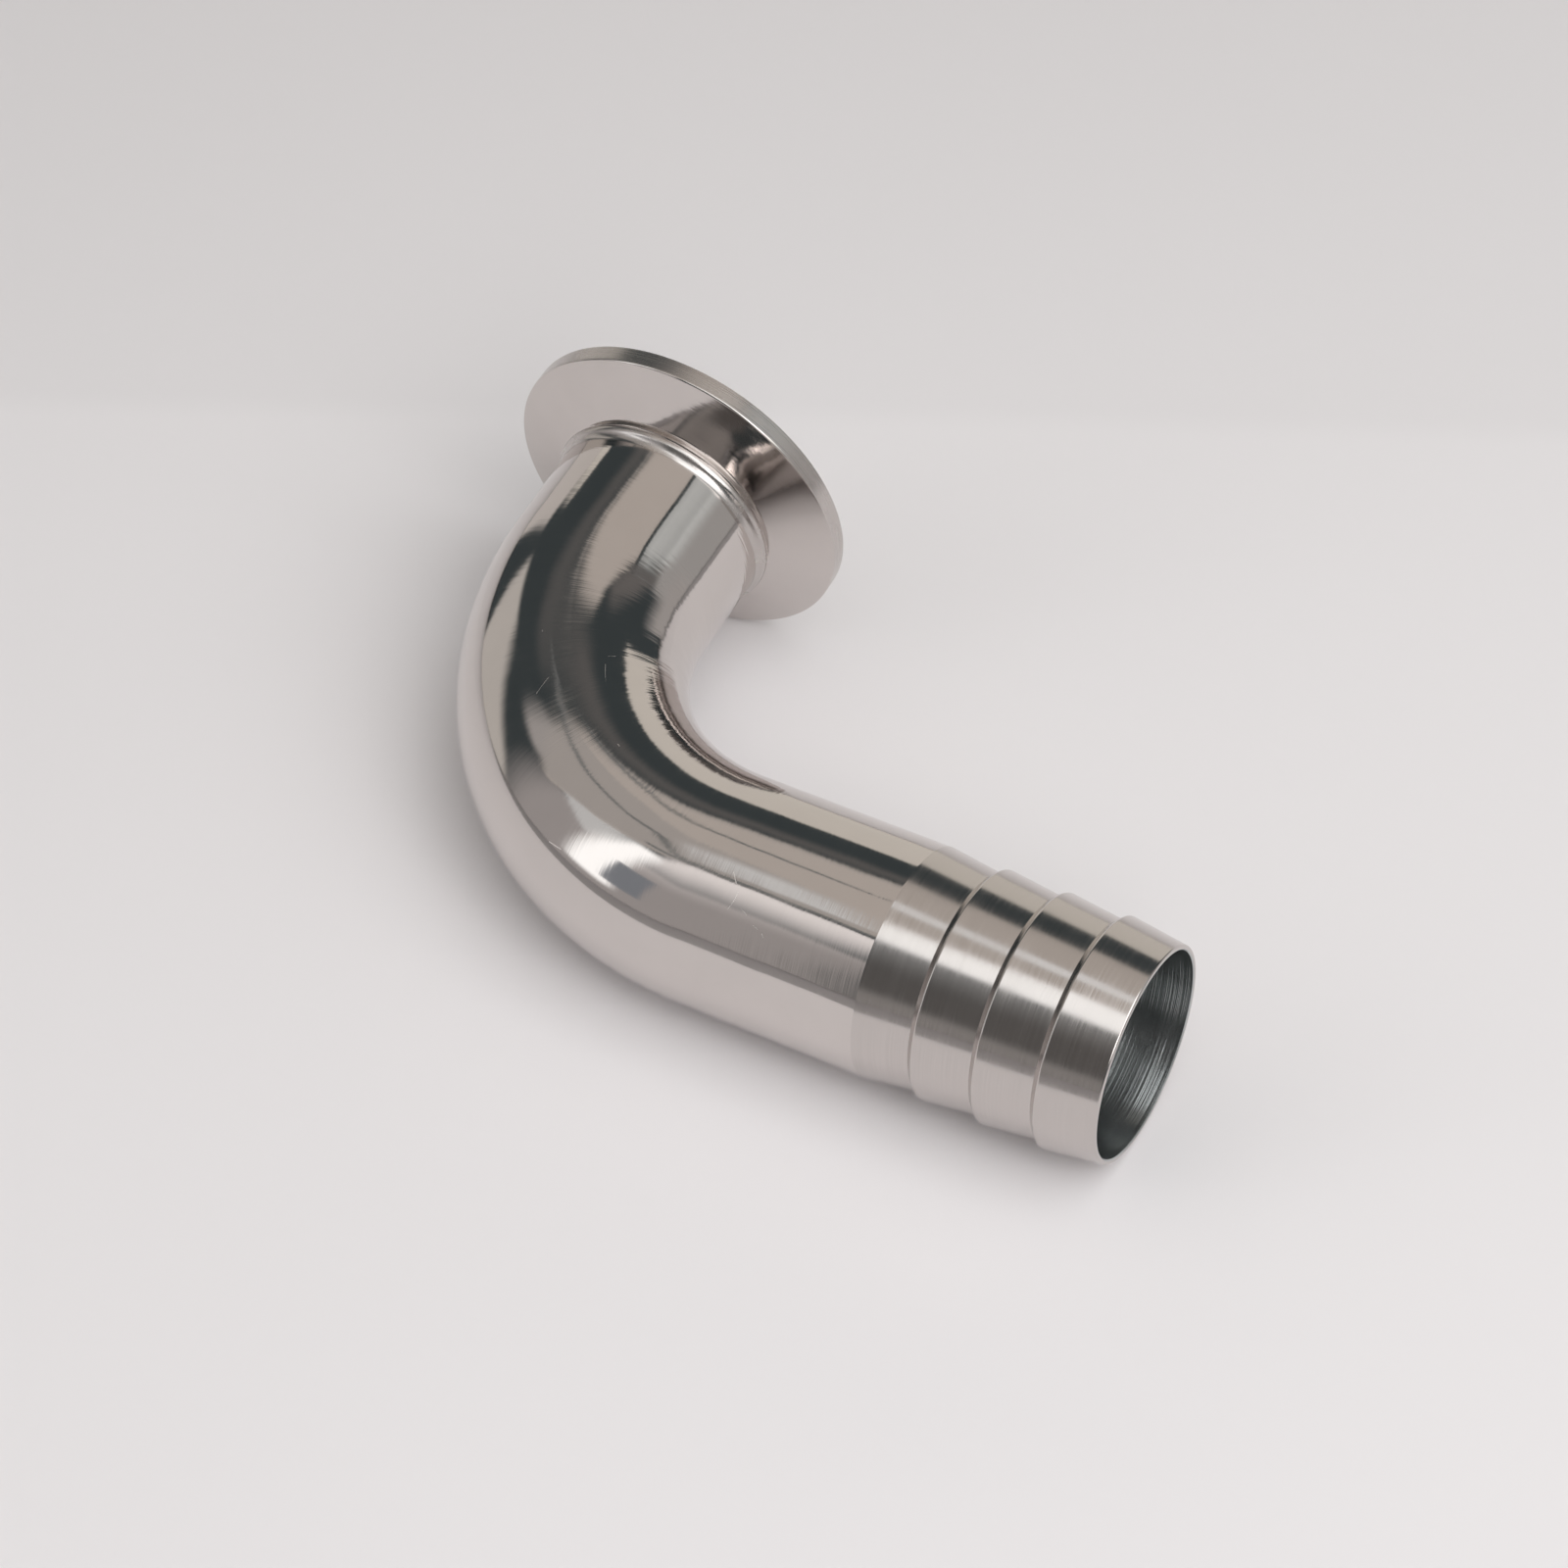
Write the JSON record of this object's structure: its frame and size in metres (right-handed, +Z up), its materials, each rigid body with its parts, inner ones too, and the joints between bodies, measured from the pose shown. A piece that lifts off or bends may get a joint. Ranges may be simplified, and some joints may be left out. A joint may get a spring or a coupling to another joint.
{
  "type": "tri-clamp hose barb elbow",
  "caption": "Ninety-degree stainless tube elbow with a sanitary clamp ferrule at one end and a ribbed hose barb at the other.",
  "frame": {"origin": "middle of the outline on the table, with the fitting lying on its side as it comes to rest", "axes": "+X along the barb's centre line towards its open end, +Z up, and the ferrule leg towards +Y, leaning up 8.9 degrees"},
  "size_m": [0.1264, 0.0802, 0.0503],
  "materials": {
    "polished_steel": "mirror-polished stainless steel with fine buffing lines",
    "weld_bead": "polished weld metal",
    "turned_steel": "fine-turned stainless steel with lathe lines round the centre line"
  },
  "bodies": {
    "root": {"clamp_ferrule": "polished_steel", "ferrule_weld": "weld_bead", "elbow_tube": "polished_steel", "barb_weld": "polished_steel", "hose_barb": "turned_steel"}
  },
  "joints": []
}
